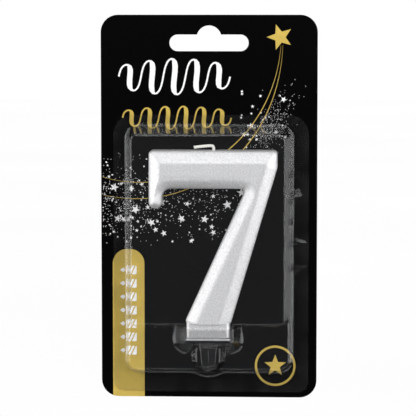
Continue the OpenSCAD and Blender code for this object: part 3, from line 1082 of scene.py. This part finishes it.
class OBJECT_OT_candle_dust(bpy.types.Operator):
    """Scatter the fine white dots over the card's printed face"""

    bl_idname = "object.candle_dust"
    bl_label = "Star Dust"

    def execute(self, context):
        finishes = context.scene.pack_finishes
        chance = random.Random(finishes.dust_seed)
        card_low, card_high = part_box("backing_card")
        band_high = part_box("gold_side_band")[1]
        drift_width, thinning, drift_height, drift_spread = 62 * MM, 1.45, -64, 8.5
        dots = []
        while len(dots) < finishes.dust_drift:
            x = card_low.x + 0.6 * MM + drift_width * chance.random() ** thinning
            z = chance.gauss(drift_height, drift_spread) * MM
            on_band = x < band_high.x + 0.5 * MM and z < band_high.z + 0.5 * MM
            if -86 * MM < z < -42 * MM and not on_band:
                dots.append((x, z, chance.uniform(0.09, 0.17) * MM * (2 if chance.random() < 0.07 else 1)))
        while len(dots) < finishes.dust_drift + finishes.dust_trail:
            down = chance.gauss(0, 1)
            x = (25.5 + 3.2 * down + chance.gauss(0, 3.4)) * MM
            z = (-34 + 6.5 * down + chance.gauss(0, 1.5)) * MM
            if x < card_high.x - 4 * MM and z < -14 * MM:
                dots.append((x, z, chance.uniform(0.08, 0.15) * MM))
        dust = self.print_dots(dots, card_low.y)
        hand_over(dust, "card", "white_ink")
        return {"FINISHED"}

    def print_dots(self, dots, face_y):
        """One six-sided dot, copied to every place and size."""
        bpy.ops.object.select_all(action="DESELECT")
        bpy.ops.mesh.primitive_circle_add(vertices=6, radius=1, fill_type="NGON")
        dot = bpy.context.object
        bpy.ops.object.mode_set(mode="EDIT")
        bpy.ops.mesh.select_all(action="SELECT")
        bpy.ops.mesh.extrude_region_move(TRANSFORM_OT_translate={"value": (0, 0, 1)})
        bpy.ops.mesh.select_all(action="SELECT")
        bpy.ops.mesh.normals_make_consistent(inside=False)
        bpy.ops.object.mode_set(mode="OBJECT")
        shape = [v.co.copy() for v in dot.data.vertices]
        sides = [list(polygon.vertices) for polygon in dot.data.polygons]
        bpy.data.objects.remove(dot)
        ink = 0.05 * MM
        points, faces = [], []
        for x, z, r in dots:
            first = len(points)
            points += [(x + r * p.x, face_y - ink * p.z, z + r * p.y) for p in shape]
            faces += [[first + i for i in side] for side in sides]
        return new_piece("star_dust", points, faces)


class OBJECT_OT_candle_seal(bpy.types.Operator):
    """Lay the ring of heat-seal lacquer, clear of the print behind it and the flange before it"""

    bl_idname = "object.candle_seal"
    bl_label = "Seal Lacquer"

    def execute(self, context):
        mesh = frame["nodes"]["heat_seal"].data.copy()
        ring = bpy.data.objects.new("seal_ring", mesh)
        context.scene.collection.objects.link(ring)
        pick(ring)
        low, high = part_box("heat_seal")
        kept_thickness = 0.3
        bpy.ops.object.mode_set(mode="EDIT")
        bpy.ops.mesh.select_all(action="SELECT")
        bpy.ops.mesh.remove_doubles(threshold=TOUCH)
        bpy.ops.mesh.select_all(action="SELECT")
        bpy.ops.transform.resize(
            value=(1, kept_thickness, 1), center_override=(0, (low.y + high.y) / 2, 0),
        )
        bpy.ops.object.mode_set(mode="OBJECT")
        hand_over(ring, "card", "seal_lacquer", "heat_seal")
        return {"FINISHED"}


class OBJECT_OT_candle_print(bpy.types.Operator):
    """Give the card and the printed layers their finishes"""

    bl_idname = "object.candle_print"
    bl_label = "Card and Print"

    def execute(self, context):
        replaced = {"heat_seal", "wax_digit", "wick_core", "wick_tip", "holder", "blister_shell"}
        for part in frame["record"]["subparts"]:
            if part["node"] in replaced:
                continue
            node = frame["nodes"][part["node"]]
            node.data.materials.clear()
            node.data.materials.append(finish_for(part["material_slot"]))
        return {"FINISHED"}


class OBJECT_OT_candle_stage(bpy.types.Operator):
    """Set the pale floor, the soft lights, the white surround and the camera"""

    bl_idname = "object.candle_stage"
    bl_label = "Studio"

    def execute(self, context):
        low, high = cad_box
        aside, below = 0.4 * MM, 0.35 * MM
        middle = Vector((-aside, 0, (low.z + high.z) / 2 - below))
        self.surround(context.scene)
        self.floor(low.z)
        for name, offset, size, watts in (
            ("left softbox", (-0.66, -0.25, 0.06), (0.9, 0.9), 5.5),
            ("right softbox", (0.66, -0.25, 0.06), (0.9, 0.9), 5.5),
            ("top softbox", (0, -0.34, 0.72), (0.9, 0.6), 3.0),
            ("front fill", (0, -1.6, 0.62), (1.2, 0.5), 7.0),
            ("low fill", (0, -0.75, -0.62), (1.2, 0.4), 2.0),
        ):
            self.softbox(name, middle + Vector(offset), middle, size, watts)
        self.camera(context.scene, middle)
        return {"FINISHED"}

    def surround(self, scene):
        """A surround that the camera sees white and the pack sees as a dim grey room."""
        world = bpy.data.worlds.new("studio")
        world.use_nodes = True
        tree = world.node_tree
        tree.nodes.clear()
        room = add_node(tree, "ShaderNodeBackground", Color=(0.95, 0.97, 1.0, 1.0), Strength=0.16)
        white = add_node(tree, "ShaderNodeBackground", Color=(1.0, 1.0, 1.0, 1.0), Strength=1.0)
        seen = tree.nodes.new("ShaderNodeLightPath").outputs["Is Camera Ray"]
        both = mix_shaders(tree, seen, room, white)
        add_node(tree, "ShaderNodeOutputWorld", Surface=both.outputs[0])
        scene.world = world
        scene.view_settings.view_transform = "Standard"

    def floor(self, height):
        """A wide pale floor just under the card's lower edge. It throws no light back at the pack."""
        bpy.ops.object.select_all(action="DESELECT")
        width, gap = 6, 0.2 * MM
        bpy.ops.mesh.primitive_plane_add(size=width, location=(0, 0, height - gap))
        floor = bpy.context.object
        floor.name = "studio_floor"
        material, tree = new_material("pale_floor")
        grey = grain(tree, 3.0, 0.98, 1.0, detail=1.0)
        seen = add_node(tree, "ShaderNodeEmission", Color=grey["Value"], Strength=1.0)
        unseen = add_node(tree, "ShaderNodeBsdfTransparent", Color=(1.0, 1.0, 1.0, 1.0))
        path = tree.nodes.new("ShaderNodeLightPath").outputs["Is Camera Ray"]
        show(tree, mix_shaders(tree, path, unseen, seen))
        floor.data.materials.append(material)

    def softbox(self, name, place, target, size, watts):
        """A soft rectangular light aimed at the pack."""
        bpy.ops.object.light_add(type="AREA", location=place)
        lamp = bpy.context.object
        lamp.name = name
        lamp.data.shape = "RECTANGLE"
        lamp.data.size, lamp.data.size_y = size
        lamp.data.energy = watts
        lamp.rotation_euler = (target - place).to_track_quat("-Z", "Y").to_euler()
        lamp.visible_camera = False

    def camera(self, scene, target):
        """A long lens a little above the pack and to its right."""
        azimuth, elevation = math.radians(2.7), math.radians(5.0)
        view_height = 168.7 * MM
        data = bpy.data.cameras.new("camera")
        data.lens, data.sensor_width = 200, 36
        back = Vector((
            math.sin(azimuth) * math.cos(elevation),
            -math.cos(azimuth) * math.cos(elevation),
            math.sin(elevation),
        ))
        distance = view_height / 2 / (data.sensor_width / 2 / data.lens)
        camera = bpy.data.objects.new("camera", data)
        scene.collection.objects.link(camera)
        camera.location = target + back * distance
        camera.rotation_euler = (-back).to_track_quat("-Z", "Y").to_euler()
        scene.camera = camera


class VIEW3D_PT_candle_pack(bpy.types.Panel):
    """Lists the pieces of the pack and their sizes."""

    bl_label = "Number Candle Pack"
    bl_space_type = "VIEW_3D"
    bl_region_type = "UI"
    bl_category = "Candle"

    def draw(self, context):
        layout = self.layout
        for operator in BUILD_ORDER:
            layout.operator(operator.bl_idname)
        for group in ("candle_sizes", "blister_sizes", "pack_finishes"):
            box = layout.box()
            owner = getattr(context.scene, group)
            for name in owner.__annotations__:
                box.prop(owner, name)


BUILD_ORDER = (
    OBJECT_OT_candle_stage,
    OBJECT_OT_candle_print,
    OBJECT_OT_candle_seal,
    OBJECT_OT_candle_dust,
    OBJECT_OT_candle_number,
    OBJECT_OT_candle_wick,
    OBJECT_OT_candle_holder,
    OBJECT_OT_candle_blister,
)
CLASSES = (CandleSizes, BlisterSizes, PackFinishes, *BUILD_ORDER, VIEW3D_PT_candle_pack)


def register():
    for item in CLASSES:
        bpy.utils.register_class(item)
    bpy.types.Scene.candle_sizes = bpy.props.PointerProperty(type=CandleSizes)
    bpy.types.Scene.blister_sizes = bpy.props.PointerProperty(type=BlisterSizes)
    bpy.types.Scene.pack_finishes = bpy.props.PointerProperty(type=PackFinishes)


def unregister():
    for name in ("candle_sizes", "blister_sizes", "pack_finishes"):
        delattr(bpy.types.Scene, name)
    for item in reversed(CLASSES):
        bpy.utils.unregister_class(item)


def main():
    """Builds the whole pack."""
    register()
    bpy.ops.object.candle_stage()
    bpy.ops.object.candle_print()
    bpy.ops.object.candle_seal()
    bpy.ops.object.candle_dust()
    bpy.ops.object.candle_number()
    bpy.ops.object.candle_wick()
    bpy.ops.object.candle_holder()
    bpy.ops.object.candle_blister()


if __name__ == "__main__":
    main()
